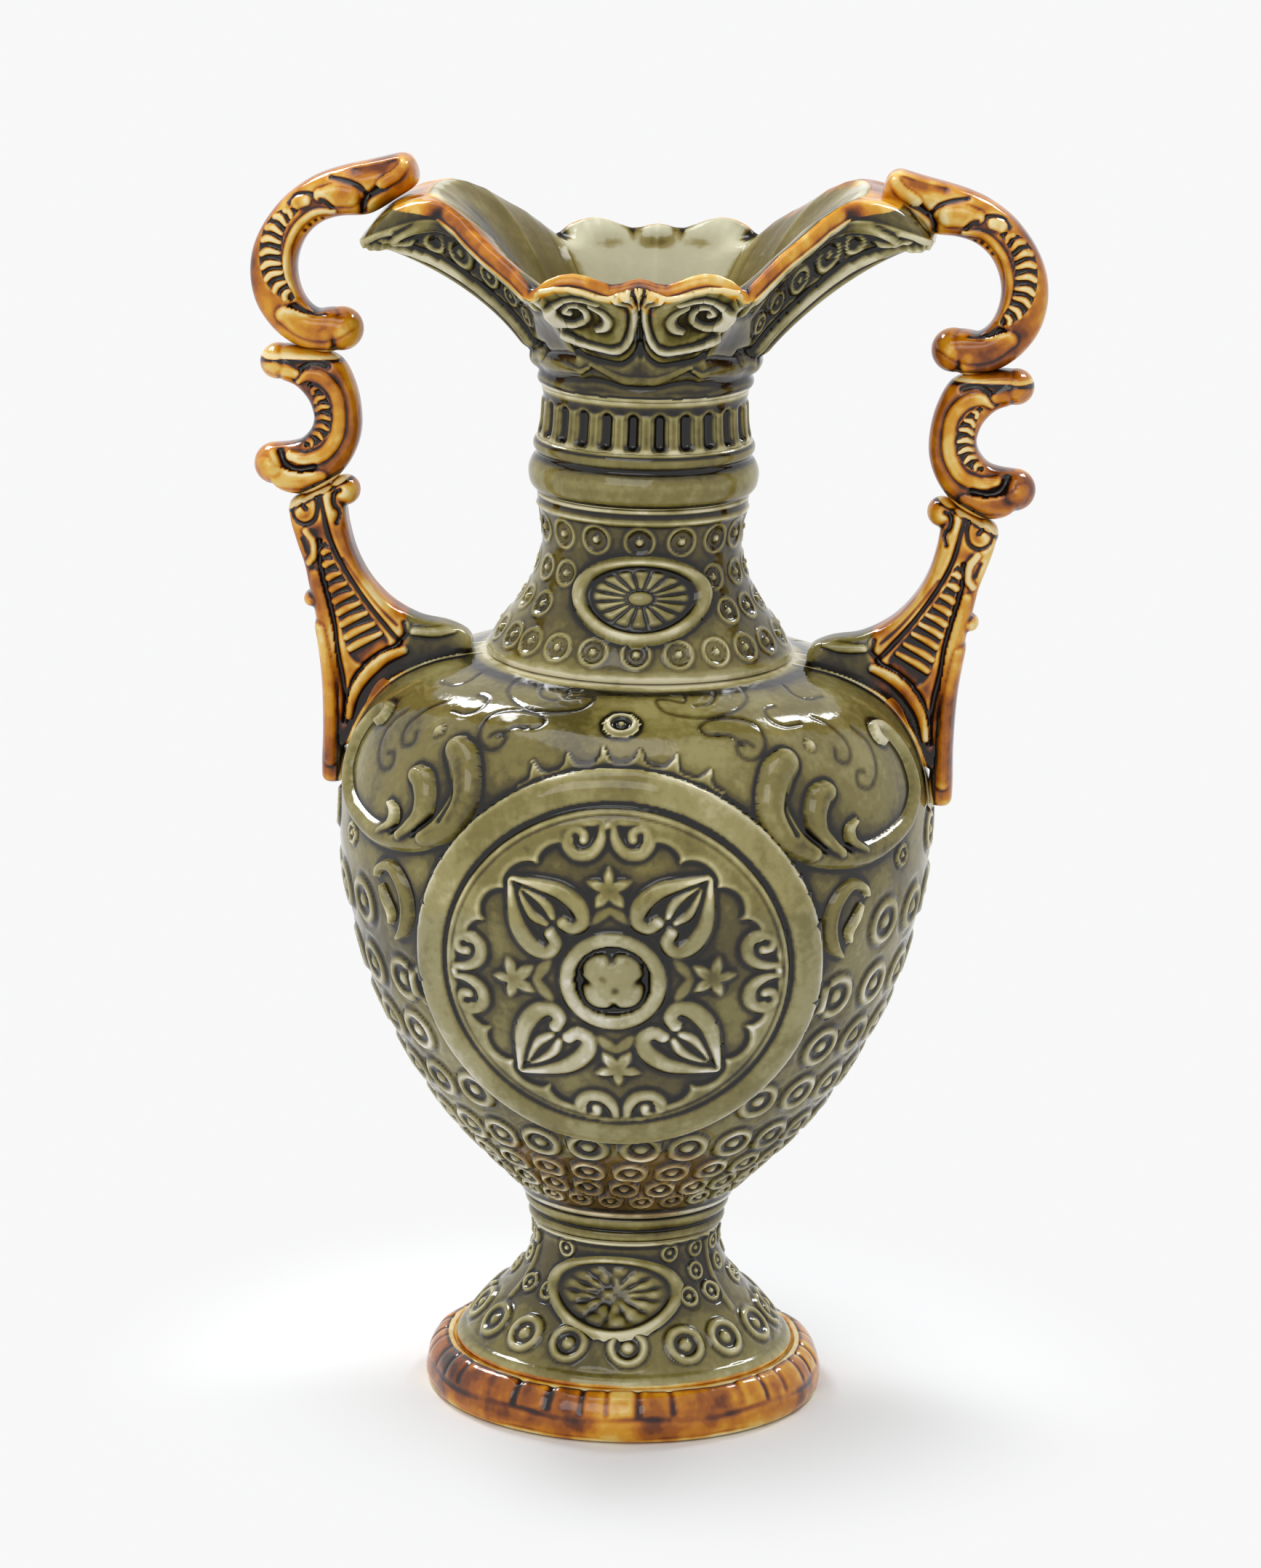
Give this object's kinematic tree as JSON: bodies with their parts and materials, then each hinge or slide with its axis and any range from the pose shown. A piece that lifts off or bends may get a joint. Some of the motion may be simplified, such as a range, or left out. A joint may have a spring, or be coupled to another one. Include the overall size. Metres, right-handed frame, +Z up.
{
  "type": "two-handled vase",
  "caption": "Footed ovoid glazed earthenware vase with a four-lobed mouth, scroll handles from mouth to shoulder and relief medallions.",
  "frame": {"origin": "middle of the foot ring, on the surface that the vase stands on", "axes": "+Z up, -Y towards the front, handles on +X and -X"},
  "size_m": [0.237, 0.1862, 0.38],
  "materials": {
    "green_glaze": "glossy",
    "mouth_glaze": "glossy",
    "amber_glaze": "glossy"
  },
  "bodies": {
    "root": {"body": "green_glaze", "flank_leaf_back_left": "green_glaze", "flank_leaf_back_right": "green_glaze", "flank_leaf_front_left": "green_glaze", "flank_leaf_front_right": "green_glaze", "fluted_collar": "green_glaze", "foot_cartouche_back": "green_glaze", "foot_cartouche_front": "green_glaze", "foot_ring": "amber_glaze", "handle_left_lower_bracket": "amber_glaze", "handle_left_middle_scroll": "amber_glaze", "handle_left_upper_scroll": "amber_glaze", "handle_right_lower_bracket": "amber_glaze", "handle_right_middle_scroll": "amber_glaze", "handle_right_upper_scroll": "amber_glaze", "lip_scroll_back_left": "green_glaze", "lip_scroll_back_right": "green_glaze", "lip_scroll_front_left": "green_glaze", "lip_scroll_front_right": "green_glaze", "medallion_back": "green_glaze", "medallion_front": "green_glaze", "mouth": "mouth_glaze", "neck": "green_glaze", "neck_cartouche_back": "green_glaze", "neck_cartouche_front": "green_glaze", "neck_ring": "green_glaze", "pedestal": "green_glaze", "shoulder_boss_back": "green_glaze", "shoulder_boss_front": "green_glaze", "shoulder_leaf_back_left": "green_glaze", "shoulder_leaf_back_right": "green_glaze", "shoulder_leaf_front_left": "green_glaze", "shoulder_leaf_front_right": "green_glaze", "stem_collar": "green_glaze"}
  },
  "joints": []
}
